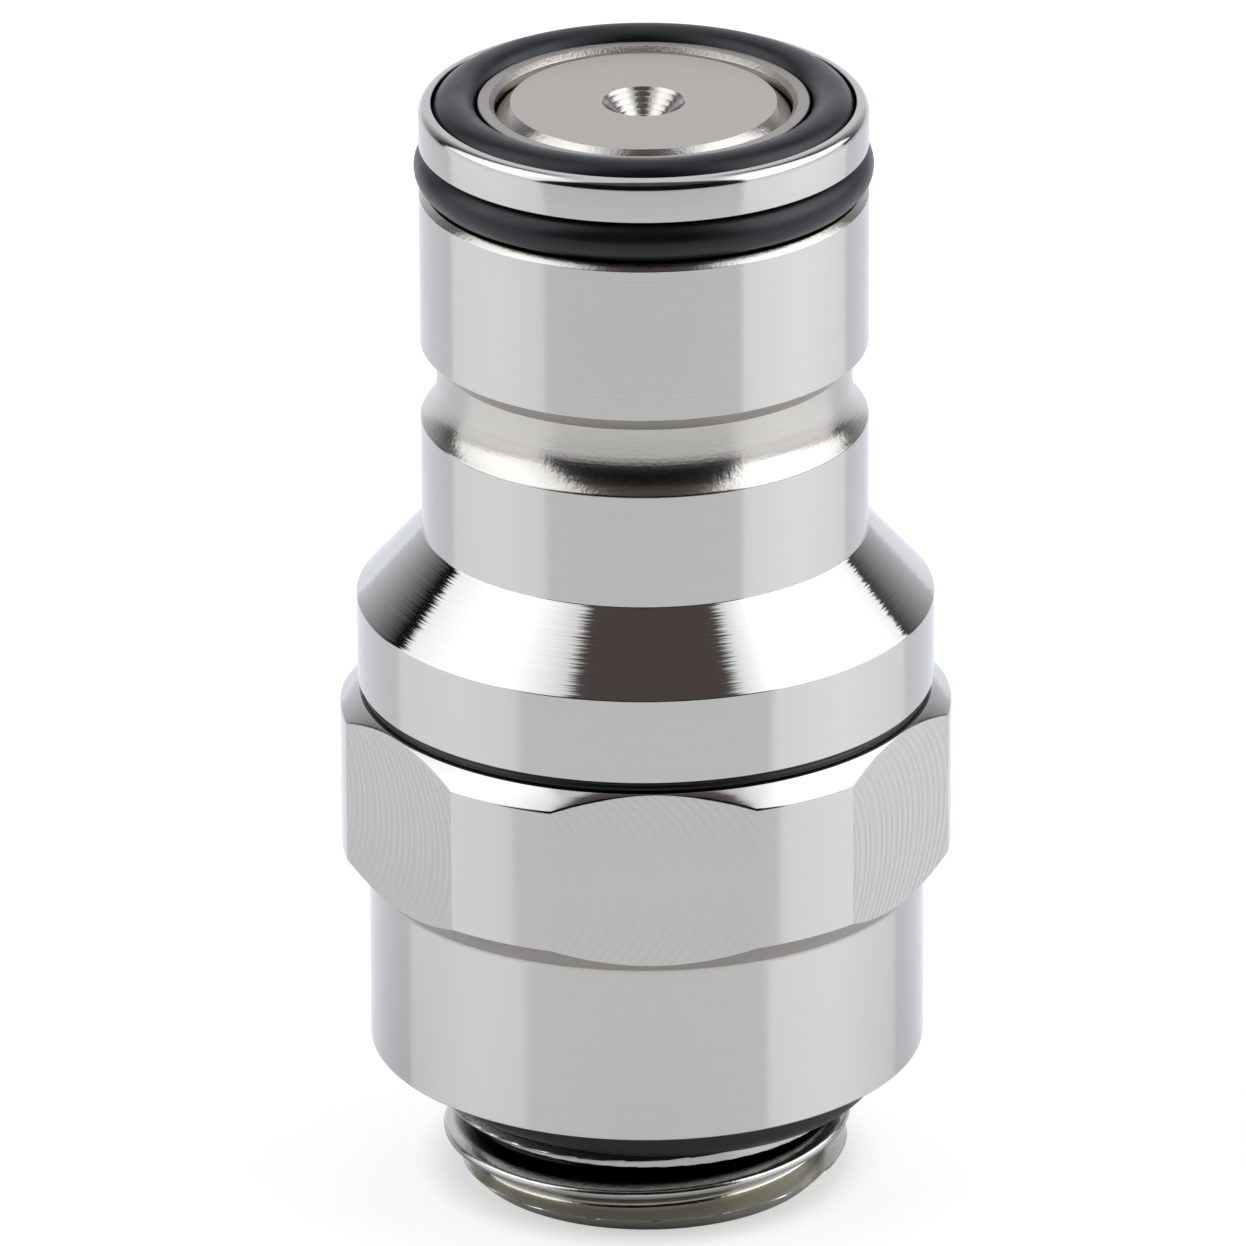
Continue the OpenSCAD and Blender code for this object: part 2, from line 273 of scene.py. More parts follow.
# Sides of an O-ring's round section, and of the spring's wire
CORD_SIDES = 48
WIRE_SIDES = 16
# Rise of a closed end turn of the spring, in wire diameters
END_TURN_RISE = 1.06


def rounded(corners):
    """Outline through (radius, height, rounding, finish) corners.

    Returns (radius, height, finish) points. A finish holds from its corner to the next one.
    """
    points = []
    for i, (radius, height, rounding, finish) in enumerate(corners):
        here = Vector((radius, height))
        if not rounding:
            points.append((radius, height, finish))
            continue
        before = (Vector(corners[i - 1][:2]) - here).normalized()
        after = (Vector(corners[(i + 1) % len(corners)][:2]) - here).normalized()
        half = before.angle(after) / 2
        # The 0.01 keeps a rounding error from adding a facet
        steps = max(2, math.ceil((math.pi - 2 * half) / FILLET_STEP - 0.01))
        centre = here + (before + after).normalized() * rounding / math.sin(half)
        start = here + before * rounding / math.tan(half) - centre
        end = here + after * rounding / math.tan(half) - centre
        for k in range(steps + 1):
            point = centre + start.lerp(end, k / steps).normalized() * rounding
            points.append((point.x, point.y, finish))
    return points


def azimuths(flat_half):
    """Angles of a whole turn, the last one closing it, with the edges of six flats if asked."""
    facets = bpy.context.scene.finish_settings.facets
    angles = []
    for sector in range(6):
        middle = math.radians(60 * sector + 30)
        low = middle - math.radians(30)
        if flat_half is None:
            angles += [low + math.radians(60) * k / facets for k in range(facets)]
            continue
        on_flat = round(facets * FLAT_SHARE)
        on_bar = (facets - on_flat) // 2
        gap = math.radians(30) - flat_half
        angles += [low + gap * k / on_bar for k in range(on_bar)]
        angles += [middle - flat_half + 2 * flat_half * k / on_flat for k in range(on_flat)]
        angles += [middle + flat_half + gap * k / on_bar for k in range(on_bar)]
    return angles + [math.radians(360)]


def loft(name, outline, flat_half=None, closed=True, place=Matrix.Identity(4)):
    """Mesh swept round the axis.

    The outline is a list of (radius, height, finish) points, or gives one for each angle. Points
    that fall together are merged later, so it may shrink to nothing.
    """
    angles = azimuths(flat_half)
    columns = [outline(a) if callable(outline) else outline for a in angles]
    rows = len(columns[0])
    points = [place @ Vector((r * math.cos(a), r * math.sin(a), z))
              for a, column in zip(angles, columns) for r, z, _ in column]
    faces = []
    finishes = []
    for i in range(len(angles) - 1):
        for j in range(rows if closed else rows - 1):
            k = (j + 1) % rows
            faces.append((i * rows + j, (i + 1) * rows + j, (i + 1) * rows + k, i * rows + k))
            finishes.append(columns[i][j][2])
    mesh = bpy.data.meshes.new(name)
    mesh.from_pydata(points, [], faces)
    mesh.polygons.foreach_set("material_index", finishes)
    return mesh


def clean(mesh):
    """Merge what falls together, face everything outwards, and crease the edges."""
    shape = bmesh.new()
    shape.from_mesh(mesh)
    bmesh.ops.remove_doubles(shape, verts=shape.verts, dist=1e-4 * MM)
    bmesh.ops.recalc_face_normals(shape, faces=shape.faces)
    for face in shape.faces:
        face.smooth = True
    for edge in shape.edges:
        edge.smooth = edge.calc_face_angle(0) < SHARP_ANGLE
    shape.to_mesh(mesh)
    shape.free()


def add_piece(name, node, mesh, finishes, body="housing"):
    """Link a mesh as a piece that takes the place of a node and rides on its body.

    finishes are the functions that make its materials, in the order of the outline's numbers.
    """
    clean(mesh)
    for build in finishes:
        mesh.materials.append(get_material(build))
    piece = bpy.data.objects.new(name, mesh)
    bpy.context.scene.collection.objects.link(piece)
    weighted = piece.modifiers.new("Face weighted normals", "WEIGHTED_NORMAL")
    weighted.keep_sharp = True
    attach(piece, body)
    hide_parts(node)
    return piece


# ---------------------------------------------------------------- materials

# Nickel reflects a little less than a perfect mirror where it is seen at a slant
EDGE_TINT = linear("F3F3F6")
# Turning lines are counted along the height, plus this share of the radius: walls, faces and
# cones all get some
RADIUS_SHARE = 0.37


def add_node(tree, kind, inputs=None, **settings):
    """Add a shader node with its settings.

    inputs takes values, colours of three parts, and what to link from: an output, or a node for
    its first output.
    """
    node = tree.nodes.new("ShaderNode" + kind)
    for name, value in settings.items():
        setattr(node, name, value)
    for name, value in (inputs or {}).items():
        socket = node.inputs[name]
        if isinstance(value, bpy.types.Node):
            value = value.outputs[0]
        if isinstance(value, bpy.types.NodeSocket):
            tree.links.new(value, socket)
        elif socket.type == "RGBA":
            socket.default_value = (*value, 1)
        else:
            socket.default_value = value
    return node


def start_nodes(owner):
    """Empty the node tree of a new material or of the world. Returns what adds nodes to it."""
    owner.use_nodes = True
    owner.node_tree.nodes.clear()
    return partial(add_node, owner.node_tree)


def new_material(name, build, *settings):
    """Material whose surface is the shader that build makes from the settings."""
    material = bpy.data.materials.new(name)
    add = start_nodes(material)
    add("OutputMaterial", {"Surface": build(add, *settings)})
    return material


def get_material(build):
    """The finish that build makes: named like it, and made once."""
    name = build.__name__
    finish = bpy.context.scene.finish_settings
    return bpy.data.materials.get(name) or new_material(name, build, finish)


def position(add):
    """Point in the object, its distance from the turning axis, and its X, Y and Z, in metres."""
    point = add("TexCoord").outputs["Object"]
    level = add("VectorMath", {0: point, 1: (1, 1, 0)}, operation="MULTIPLY")
    radius = add("VectorMath", {0: level}, operation="LENGTH")
    parts = add("SeparateXYZ", {0: point})
    return point, radius.outputs["Value"], parts.outputs


def turning_lines(add, pitch, lean):
    """Bumps of the tool's feed, which run round the axis on walls, cones and faces alike."""
    _, radius, parts = position(add)
    along = add("Math", {0: radius, 1: RADIUS_SHARE, 2: parts["Z"]}, operation="MULTIPLY_ADD")
    turns = add("Math", {0: along, 1: pitch}, operation="DIVIDE")
    lines = add("TexNoise", {"W": turns, "Scale": 1, "Detail": 2, "Roughness": 0.6},
                noise_dimensions="1D")
    return add("Bump", {"Height": lines, "Distance": pitch * math.tan(lean), "Strength": 1})


def grain(add, mm, degrees, under=None):
    """Even bumps of a given size that lean by some degrees, on top of the bumps under them."""
    size = mm * MM
    point, _, _ = position(add)
    noise = add("TexNoise", {"Vector": point, "Scale": 1 / size, "Detail": 3, "Roughness": 0.6})
    inputs = {"Height": noise, "Distance": size * math.tan(math.radians(degrees)), "Strength": 1}
    if under is not None:
        inputs["Normal"] = under
    return add("Bump", inputs)


def rough_cut(add, finish, mm, degrees):
    """Marks of a turned cut that tore the brass: feed lines with grain over them."""
    lines = turning_lines(add, finish.turning_pitch, finish.turning_lean)
    return grain(add, mm, degrees, lines)


def plate(add, tone, roughness, anisotropy, marks):
    """Nickel plate. The marks are the bumps of the cut under it."""
    round_axis = add("Tangent", direction_type="RADIAL", axis="Z")
    return add("BsdfPrincipled", {"Base Color": tone, "Metallic": 1, "Roughness": roughness,
                                  "Specular Tint": EDGE_TINT, "Anisotropic": anisotropy,
                                  "Anisotropic Rotation": 0.25, "Tangent": round_axis,
                                  "Normal": marks})


def turned_nickel(add, finish):
    """Bright electroplated nickel over turned brass.

    The lathe's feed leaves fine rings, so a reflection keeps sharp upright edges but is drawn out
    and ragged along the axis. Real feed marks are 0.03 to 0.05 mm apart; they are drawn coarser
    so that they show.
    """
    lines = turning_lines(add, finish.turning_pitch, finish.turning_lean)
    return plate(add, finish.nickel, roughness=0.12, anisotropy=0.5, marks=lines)


def taper_turned_nickel(add, finish):
    """Nickel over the cones and chamfers, which were turned with a slanted feed.

    The feed marks are crisper there, so the edge of a reflection breaks up into short streaks.
    """
    lines = turning_lines(add, finish.turning_pitch, 2.5 * finish.turning_lean)
    return plate(add, finish.nickel, roughness=0.07, anisotropy=0.2, marks=lines)


def milled_nickel(add, finish):
    """The same plate over the milled flats.

    Each pass of the end mill leaves an arc of the cutter's radius, one feed apart, and the arcs
    glint softly where the flat turns away from the light.
    """
    _, radius, parts = position(add)
    turn = add("Math", {0: parts["Y"], 1: parts["X"]}, operation="ARCTAN2")
    shifted = add("Math", {0: turn, 1: math.radians(30)}, operation="SUBTRACT")
    in_flat = add("Math", {0: shifted, 1: math.radians(30), 2: math.radians(-30)}, operation="WRAP")
    sine = add("Math", {0: in_flat}, operation="SINE")
    across = add("Math", {0: radius, 1: sine}, operation="MULTIPLY")
    middle = (bpy.context.scene.adapter_sizes.skirt_height + ADAPTER_HIGH.z) / 2
    up = add("Math", {0: parts["Z"], 1: middle}, operation="SUBTRACT")
    squared = add("Math", {0: up, 1: 2}, operation="POWER")
    rest = add("Math", {0: finish.cutter_radius ** 2, 1: squared}, operation="SUBTRACT")
    bow = add("Math", {0: rest}, operation="SQRT")
    along = add("Math", {0: across, 1: bow}, operation="SUBTRACT")
    passes = add("Math", {0: along, 1: finish.cutter_feed}, operation="DIVIDE")
    uneven = add("TexNoise", {"W": passes, "Scale": 0.6, "Detail": 2}, noise_dimensions="1D")
    phase = add("Math", {0: uneven, 1: 1.2, 2: passes}, operation="MULTIPLY_ADD")
    cycle = add("Math", {0: phase, 1: math.tau}, operation="MULTIPLY")
    arcs = add("Math", {0: cycle}, operation="SINE")
    # The flats on the -X side were cut with a lighter pass, so their marks are fainter
    depth = add("MapRange", {"Value": parts["X"], "From Min": -6 * MM, "From Max": -4.5 * MM,
                             "To Min": 0.4, "To Max": 1})
    cuts = add("Math", {0: arcs, 1: depth}, operation="MULTIPLY")
    marks = add("Bump", {"Height": cuts, "Strength": 1,
                         "Distance": finish.cutter_feed * math.tan(finish.cutter_lean)})
    grit = grain(add, mm=0.08, degrees=1.5, under=marks)
    return plate(add, finish.nickel, roughness=0.14, anisotropy=0, marks=grit)


def thread_end_nickel(add, finish):
    """Thin nickel on the chamfers at the thread's ends: duller than outside, a trace of olive."""
    marks = rough_cut(add, finish, mm=0.12, degrees=5)
    return plate(add, finish.thread_nickel, roughness=0.2, anisotropy=0, marks=marks)


def threaded_nickel(add, finish):
    """Nickel in the thread: bright on the rounded crests, thin and olive down the flanks.

    The upper roots and flanks, next to the seal, are painted black: painted shade under the seal
    and the skirt.
    """
    _, radius, parts = position(add)
    crest = bpy.context.scene.adapter_sizes.thread_radius
    collar = bpy.context.scene.adapter_sizes.collar_height
    bright = add("MapRange", {"Value": radius, "From Min": crest - 0.4 * MM,
                              "From Max": crest - 0.25 * MM})
    # Painted shade: below the crests and above this height the thread is painted black
    painted_root_shade = add("MapRange", {"Value": parts["Z"], "From Min": collar - 1.1 * MM,
                             "From Max": collar - 0.8 * MM})
    flank = add("Mix", {0: painted_root_shade, 6: finish.thread_nickel, 7: finish.thread_root_shade}, data_type="RGBA")
    tone = add("Mix", {0: bright, 6: flank.outputs[2], 7: finish.nickel}, data_type="RGBA")
    marks = rough_cut(add, finish, mm=0.12, degrees=3)
    return plate(add, tone.outputs[2], roughness=0.15, anisotropy=0, marks=marks)


def rough_turned_nickel(add, finish):
    """Nickel over the form-tool cuts of the grooves, and over the valve's chamfer and dimple.

    The wide tool chatters, so the plate looks slightly mottled and its reflections are soft.
    """
    marks = rough_cut(add, finish, mm=0.16, degrees=2.5)
    return plate(add, finish.groove_nickel, roughness=0.2, anisotropy=0.5, marks=marks)


def grainy_nickel(add, finish):
    """Thin nickel over a torn cut, on the lip round the valve.

    It scatters light in small specks, dull in the shade and glittering towards a lamp.
    """
    marks = rough_cut(add, finish, mm=0.12, degrees=13)
    return plate(add, finish.lip_nickel, roughness=0.33, anisotropy=0, marks=marks)


def satin_nickel(add, finish):
    """Nickel over the faced end of the valve: matt and even, with no clear reflection."""
    lines = turning_lines(add, 0.06 * MM, math.radians(3))
    grit = grain(add, mm=0.05, degrees=4, under=lines)
    return plate(add, finish.dull_nickel, roughness=0.38, anisotropy=0.2, marks=grit)


def moulded_rubber(add, finish):
    """Black nitrile rubber, compression moulded.

    The mould leaves a skin that is nearly smooth: broad soft highlights with faint clouding,
    and a trace of bloom that greys them.
    """
    point, _, _ = position(add)
    clouds = add("TexNoise", {"Vector": point, "Scale": 1 / (1.5 * MM), "Detail": 4})
    sheen = add("MapRange", {"Value": clouds, "From Min": 0.3, "From Max": 0.7, "To Min": 0.3,
                             "To Max": 0.42})
    return add("BsdfPrincipled", {"Base Color": finish.rubber, "Roughness": sheen, "IOR": 1.43,
                                  "Normal": grain(add, mm=0.06, degrees=2.5)})


def spring_wire(add, finish):
    """Drawn stainless wire: faint die marks give it a soft silvery shine."""
    return add("BsdfPrincipled", {"Base Color": finish.steel, "Metallic": 1, "Roughness": 0.24,
                                  "Normal": grain(add, mm=0.1, degrees=2)})


def machined_brass(add, finish):
    """Bare free-cutting brass: warm yellow, with faint tool marks and a slight tarnish."""
    point, _, _ = position(add)
    tarnish = add("TexNoise", {"Vector": point, "Scale": 1 / (2 * MM), "Detail": 4})
    dull = add("MapRange", {"Value": tarnish, "To Min": 0.2, "To Max": 0.36})
    return add("BsdfPrincipled", {"Base Color": finish.brass, "Metallic": 1, "Roughness": dull,
                                  "Normal": turning_lines(add, 0.08 * MM, math.radians(2))})


# ---------------------------------------------------------------- pieces


def thread_radius_at(sizes, offset):
    """Radius of the rounded V thread at a distance along the axis from a crest's middle."""
    half = sizes.thread_pitch / 2
    away = abs((offset + half) % sizes.thread_pitch - half)
    crest = sizes.thread_radius - sizes.thread_round
    root = sizes.thread_radius - sizes.thread_depth + sizes.thread_round
    reach = sizes.thread_round * math.cos(sizes.thread_flank)
    if away < reach:
        return crest + math.sqrt(sizes.thread_round ** 2 - away ** 2)
    if half - away < reach:
        return root - math.sqrt(sizes.thread_round ** 2 - (half - away) ** 2)
    start = crest + sizes.thread_round * math.sin(sizes.thread_flank)
    return start - (away - reach) / math.tan(sizes.thread_flank)


class COUPLING_OT_adapter(bpy.types.Operator):
    """Build the threaded adapter with its wrench hexagon"""

    bl_idname = "coupling.adapter"
    bl_label = "Threaded Adapter"

    def execute(self, context):
        sizes = context.scene.adapter_sizes
        finish = context.scene.finish_settings
        bar = ADAPTER_HIGH.x
        flat = ADAPTER_HIGH.y
        top = ADAPTER_HIGH.z
        edge = finish.edge
        finishes = [turned_nickel, milled_nickel, rough_turned_nickel, threaded_nickel,
                    thread_end_nickel]
        turned, milled, rough, threaded, ended = range(5)
        steps_per_pitch = 54
        step = sizes.thread_pitch / steps_per_pitch
        samples = math.ceil(sizes.thread_end / step) + steps_per_pitch

        def thread(turn):
            """Points from the end face up to the end of the thread, at one angle."""
            rise = sizes.thread_pitch * turn / math.tau
            crest = sizes.thread_phase + rise
            points = []
            for k in range(samples + 1):
                height = min(max(rise - sizes.thread_pitch + k * step, 0), sizes.thread_end)
                below = max(sizes.collar_height - height, 0)
                radius = max(thread_radius_at(sizes, height - crest),
                             sizes.collar_radius - COLLAR_SLOPE * below)
                end_chamfer = sizes.core_radius + height
                runout = sizes.thread_radius - sizes.thread_runout + sizes.thread_end - height
                cut = min(end_chamfer, runout)
                points.append((min(radius, cut), height, ended if cut < radius else threaded))
            return points

        def outline(turn):
            """Whole outline at one angle, with the side of the hexagon that it cuts."""
            from_middle = (turn % math.radians(60)) - math.radians(30)
            on_flat = flat / math.cos(from_middle) < bar
            side = min(bar, flat / math.cos(from_middle))
            side_round = min(3 * edge, side - sizes.top_radius)
            return thread(turn) + rounded([
                (sizes.core_radius, sizes.thread_end, 0, rough),
                (sizes.core_radius, sizes.recess_height, 0, rough),
                (sizes.recess_radius, sizes.recess_height, 0, rough),
                (sizes.recess_radius, sizes.seat_height, edge, turned),
                (sizes.skirt_radius, sizes.seat_height, edge, turned),
                (sizes.skirt_radius, sizes.skirt_height, sizes.skirt_fillet, rough),
                (side, sizes.skirt_height + side - sizes.skirt_radius, edge / 2,
                 milled if on_flat else turned),
                (side, top - side + sizes.top_radius, side_round, turned),
                (sizes.top_radius, top, edge / 2, turned),
                (sizes.joint_radius + sizes.mouth, top, edge, turned),
                (sizes.joint_radius, top - sizes.mouth, edge, turned),
                (sizes.joint_radius, BODY_LOW.z, 0, turned),
                (sizes.relief_radius, BODY_LOW.z, 0, turned),
                (sizes.relief_radius, sizes.ledge_height, 0, turned),
                (sizes.ledge_radius, sizes.ledge_height, edge, turned),
                (sizes.bore_radius, sizes.ledge_height + sizes.bore_radius - sizes.ledge_radius,
                 edge, turned),
                (sizes.bore_radius, sizes.mouth, edge, turned),
                (sizes.bore_radius + sizes.mouth, 0, 0, turned),
            ])

        mesh = loft("port_adapter", outline, flat_half=math.acos(flat / bar))
        add_piece("threaded_adapter", "port_adapter", mesh, finishes)
        return {"FINISHED"}


class COUPLING_OT_body(bpy.types.Operator):
    """Build the plug body: spigot, band, cone, barrel with its grooves, rim and lip"""

    bl_idname = "coupling.body"
    bl_label = "Plug Body"

    def execute(self, context):
        sizes = context.scene.body_sizes
        finish = context.scene.finish_settings
        edge = finish.edge
        foot = BODY_LOW.z
        band = BODY_HIGH.x
        lip = BODY_HIGH.z
        shoulder = GASKET_HIGH.z
        barrel = sizes.barrel_radius
        depth = barrel - sizes.lock_radius
        break_out = sizes.barrel_chamfer
        relief = shoulder - sizes.relief_drop
        finishes = [turned_nickel, rough_turned_nickel, grainy_nickel, taper_turned_nickel]
        turned, rough, grainy, tapered = range(4)
        points = rounded([
            (sizes.chamber_radius, foot, edge, turned),
            (sizes.spigot_radius - sizes.spigot_chamfer, foot, 0, turned),
            (sizes.spigot_radius, foot + sizes.spigot_chamfer, 0, turned),
            (sizes.spigot_radius, relief, 0, turned),
            (sizes.spigot_relief, relief + sizes.relief_rise, 0, turned),
            (sizes.spigot_relief, shoulder, 0, turned),
            (band, shoulder, edge, turned),
            (band, sizes.cone_height, edge, tapered),
            (barrel, sizes.barrel_height, edge, turned),
            (barrel, sizes.lock_height, sizes.lock_edge, rough),
            (sizes.lock_radius, sizes.lock_height + depth, sizes.lock_fillet, rough),
            (sizes.lock_radius, sizes.lock_top - depth, edge, rough),
            (barrel, sizes.lock_top, edge, turned),
            (barrel, sizes.seal_height - break_out, edge / 2, rough),
            (barrel - break_out, sizes.seal_height, edge / 2, rough),
            (sizes.seal_floor, sizes.seal_height, edge, rough),
            (sizes.seal_floor, sizes.seal_top, edge, rough),
            (barrel, sizes.seal_top, edge, turned),
            (barrel, sizes.nose_height, sizes.rim_round, turned),
            (sizes.face_outer, sizes.nose_height, edge, rough),
            (sizes.face_outer, sizes.face_floor, edge, rough),
            (sizes.face_inner, sizes.face_floor, edge, rough),
            (sizes.face_inner, lip, edge, grainy),
            (sizes.nose_bore + sizes.lip_bevel, lip, edge / 2, grainy),
            (sizes.nose_bore, lip - sizes.lip_bevel, edge / 2, rough),
            (sizes.nose_bore, sizes.seat_height, 0, rough),
            (sizes.chamber_radius, sizes.seat_height - sizes.chamber_radius + sizes.nose_bore, 0,
             rough),
        ])
        mesh = loft("plug_body", points)
        add_piece("turned_plug_body", "plug_body", mesh, finishes)
        return {"FINISHED"}


class COUPLING_OT_valve(bpy.types.Operator):
    """Build the valve poppet: face with its dimple, seal gland, flange, boss and stem"""

    bl_idname = "coupling.valve"
    bl_label = "Valve Poppet"

    def execute(self, context):
        sizes = context.scene.valve_sizes
        finish = context.scene.finish_settings
        edge = finish.edge
        tail = VALVE_LOW.z
        face = VALVE_HIGH.z
        head = sizes.head_radius
        flange = VALVE_HIGH.x
        gland_top = sizes.gland_height + sizes.gland_width
        chamfer = sizes.stem_chamfer
        finishes = [satin_nickel, turned_nickel, rough_turned_nickel]
        satin, turned, rough = range(3)
        corners = [
            (0, tail, 0, turned),
            (sizes.stem_radius - chamfer, tail, edge, turned),
            (sizes.stem_radius, tail + chamfer, edge, turned),
            (sizes.stem_radius, sizes.boss_height - sizes.stem_flare, chamfer, turned),
            (sizes.stem_radius + sizes.stem_flare, sizes.boss_height, edge, turned),
            (sizes.boss_radius - chamfer, sizes.boss_height, edge, turned),
            (sizes.boss_radius, sizes.boss_height + chamfer, edge, turned),
            (sizes.boss_radius, sizes.flange_height, edge, turned),
            (flange, sizes.flange_height, edge, turned),
            (flange, sizes.flange_top, edge, turned),
            (head, sizes.flange_top + flange - head, edge, turned),
            (head, sizes.gland_height, edge, turned),
            (sizes.gland_radius, sizes.gland_height, edge, turned),
            (sizes.gland_radius, gland_top, edge, turned),
            (head, gland_top, edge, turned),
            (head, face - sizes.head_chamfer, edge / 2, rough),
            (head - sizes.head_chamfer, face, edge / 2, satin),
            (sizes.dimple_radius, face, edge / 2, rough),
        ]
        wall = Vector((sizes.pilot_radius - sizes.dimple_radius, -sizes.dimple_depth))
        inward = Vector((-wall.y, wall.x)).normalized() * sizes.ring_depth
        start = Vector((sizes.dimple_radius, face))
        for k in range(sizes.dimple_rings):
            root = start + wall * (k + MARK_ROOT) / sizes.dimple_rings + inward
            crest = start + wall * (k + 1) / sizes.dimple_rings
            corners.append((root.x, root.y, sizes.ring_round, rough))
            corners.append((crest.x, crest.y, 0, rough))
        pilot_end = crest.y - sizes.pilot_depth
        corners.append((sizes.pilot_radius, pilot_end, 0, turned))
        corners.append((0, pilot_end - sizes.pilot_tip, 0, turned))
        mesh = loft("valve_poppet", rounded(corners), closed=False)
        add_piece("turned_valve_poppet", "valve_poppet", mesh, finishes, "valve")
        return {"FINISHED"}


class COUPLING_OT_seals(bpy.types.Operator):
    """Build the O-rings round the barrel, in the nose face and on the port's neck"""

    bl_idname = "coupling.seals"
    bl_label = "O-rings"

    def execute(self, context):
        sizes = context.scene.seal_sizes
        for node, low, high in [("barrel_seal", BARREL_SEAL_LOW, BARREL_SEAL_HIGH),
                                ("face_seal", FACE_SEAL_LOW, FACE_SEAL_HIGH)]:
            place = Matrix.Translation((0, 0, (low.z + high.z) / 2))
            self.add_ring(node, high.x, high.z - low.z, place)
        middle = Matrix.Translation((PORT_SEAL_LOW + PORT_SEAL_HIGH) / 2)
        lean = Matrix.Rotation(sizes.port_lean, 4, "Y")
        self.add_ring("port_seal", PORT_SEAL_HIGH.y, sizes.port_cord, middle @ lean)
        return {"FINISHED"}

    def add_ring(self, node, outside, cord, place):
        """Add a round ring of a given outer radius and cord diameter."""
        turns = [math.tau * k / CORD_SIDES for k in range(CORD_SIDES)]
        middle = outside - cord / 2
        points = [(middle + cord / 2 * math.cos(t), cord / 2 * math.sin(t), 0) for t in turns]
        mesh = loft(node, points, place=place)
        add_piece("moulded_" + node, node, mesh, [moulded_rubber])


class COUPLING_OT_gasket(bpy.types.Operator):
    """Build the flat gasket between the adapter and the plug body"""

    bl_idname = "coupling.gasket"
    bl_label = "Joint Gasket"

    def execute(self, context):
        sizes = context.scene.seal_sizes
        low = GASKET_LOW.z
        high = GASKET_HIGH.z
        outer = GASKET_HIGH.x
        inner = context.scene.adapter_sizes.joint_radius + sizes.gasket_gap
        rib = (high - low) / sizes.gasket_ribs
        points = [(inner, low, 0)]
        for k in range(sizes.gasket_ribs):
            for share in (0, 0.25, 0.5, 0.75):
                height = low + rib * (k + share)
                from_middle = (height - low) / (high - low) * 2 - 1
                groove = sizes.rib_depth * (1 + math.cos(math.tau * share))
                radius = outer - sizes.gasket_bulge * from_middle ** 2 - groove
                points.append((radius, height, 0))
        points += [(outer - sizes.gasket_bulge, high, 0), (inner, high, 0)]
        mesh = loft("joint_gasket", points)
        add_piece("flat_gasket", "joint_gasket", mesh, [moulded_rubber])
        return {"FINISHED"}


class COUPLING_OT_spring(bpy.types.Operator):
    """Build the valve spring as one wound wire with closed, ground ends"""

    bl_idname = "coupling.spring"
    bl_label = "Valve Spring"

    def execute(self, context):
        sizes = context.scene.valve_sizes
        sides = WIRE_SIDES
        steps = 48
        wire = sizes.wire / 2
        mean = SPRING_HIGH.x - wire
        low = SPRING_LOW.z + wire
        high = SPRING_HIGH.z - wire
        end_rise = END_TURN_RISE * sizes.wire
        pitch = (high - low - 2 * end_rise) / sizes.spring_turns
        turns = sizes.spring_turns + 2
        points = []
        for i in range(turns * steps + 1):
            turn = i / steps
            height = low + end_rise + pitch * (turn - 1)
            if turn < 1:
                height = low + end_rise * turn
            elif turn > turns - 1:
                height = high - end_rise * (turns - turn)
            for j in range(sides):
                a = math.tau * j / sides
                radius = mean + wire * math.cos(a)
                level = height + wire * math.sin(a)
                points.append((radius * math.cos(math.tau * turn),
                               radius * math.sin(math.tau * turn),
                               min(max(level, SPRING_LOW.z), SPRING_HIGH.z)))
        faces = [(i * sides + j, i * sides + (j + 1) % sides,
                  (i + 1) * sides + (j + 1) % sides, (i + 1) * sides + j)
                 for i in range(turns * steps) for j in range(sides)]
        faces.append(tuple(range(sides)))
        faces.append(tuple(turns * steps * sides + j for j in range(sides)))
        mesh = bpy.data.meshes.new("valve_spring")
        mesh.from_pydata(points, [], faces)
        piece = add_piece("wound_spring", "valve_spring", mesh, [spring_wire])
        travel = max(SLIDE["range_m"])
        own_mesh(piece)
        return {"FINISHED"}


class COUPLING_OT_inner(bpy.types.Operator):
    """Finish the pieces whose construction shape already is right: stem guide and valve seal"""

    bl_idname = "coupling.inner"
    bl_label = "Guide and Valve Seal"

    def execute(self, context):
        for node, build in [("stem_guide", machined_brass), ("valve_seal", moulded_rubber)]:
            for material_slot in frame["nodes"][node].material_slots:
                material_slot.material = get_material(build)
        return {"FINISHED"}


# ---------------------------------------------------------------- studio

# Matt part of what the camera sees of the floor; its own light adds the rest up to white
FLOOR_MATT = 0.285
# Azimuths, in degrees from the camera, of the front card's edges at the floor and at its top
FRONT_CARD_FOOT = (-57.3, 52.2)
FRONT_CARD_HEAD = (-37.4, 51.4)
# Elevation of its top, in degrees
FRONT_CARD_TOP = 85
# Azimuth of the back cards' front edges and elevation of their tops, in degrees
BACK_CARD_START = 117
BACK_CARD_TOP = 70


